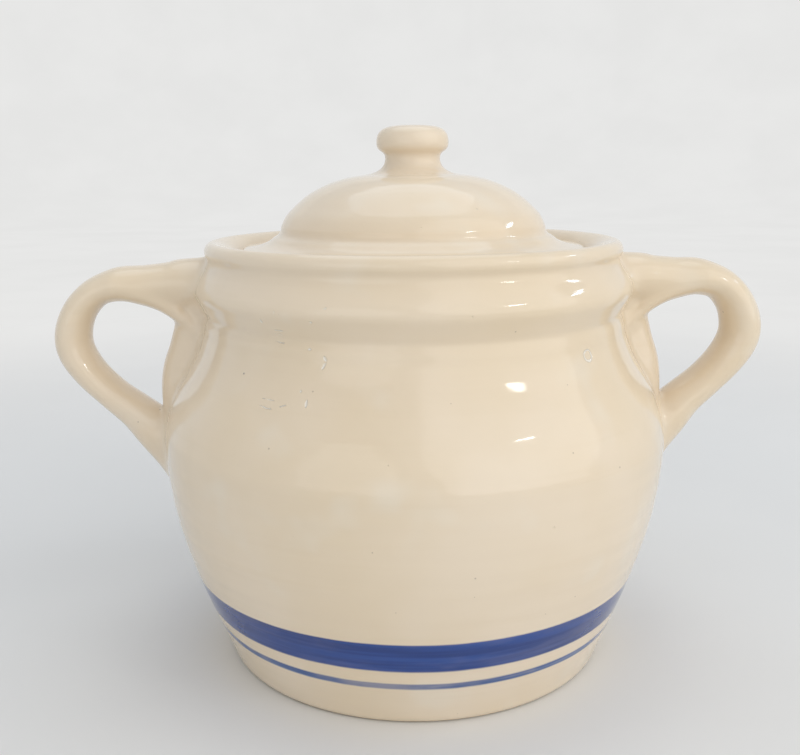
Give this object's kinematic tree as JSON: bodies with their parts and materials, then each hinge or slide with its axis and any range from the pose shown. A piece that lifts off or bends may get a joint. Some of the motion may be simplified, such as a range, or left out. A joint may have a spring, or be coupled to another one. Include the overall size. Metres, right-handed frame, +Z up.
{
  "type": "lidded two-handled stoneware crock",
  "caption": "Bellied stoneware butter crock with loop handles, a waisted neck, two brushed bands and a domed lift-off lid with a knob.",
  "frame": {"origin": "centre of the underside, on the surface that the crock stands on", "axes": "+Z up along the axis that the pot is turned about; the two handles lie along X; Y runs front to back"},
  "size_m": [0.2986, 0.2084, 0.2188],
  "materials": {
    "cream_glaze": "glossy cream glaze over stoneware, with throwing marks and small pinholes",
    "cobalt_band": "brushed cobalt blue under the clear glaze, streaked, with soft edges",
    "pale_band": "thin brushed grey-blue line under the clear glaze, uneven"
  },
  "bodies": {
    "crock": {"crock_body": "cream_glaze", "handle_left": "cream_glaze", "handle_right": "cream_glaze", "wide_band": "cobalt_band", "narrow_band": "pale_band"},
    "lid": {"lid": "cream_glaze", "lid_knob": "cream_glaze"}
  },
  "joints": [
    {"name": "lid_lift", "type": "slide", "parent": "crock", "child": "lid", "axis": [0, 0, 1], "range_m": [0, 0.12]}
  ]
}
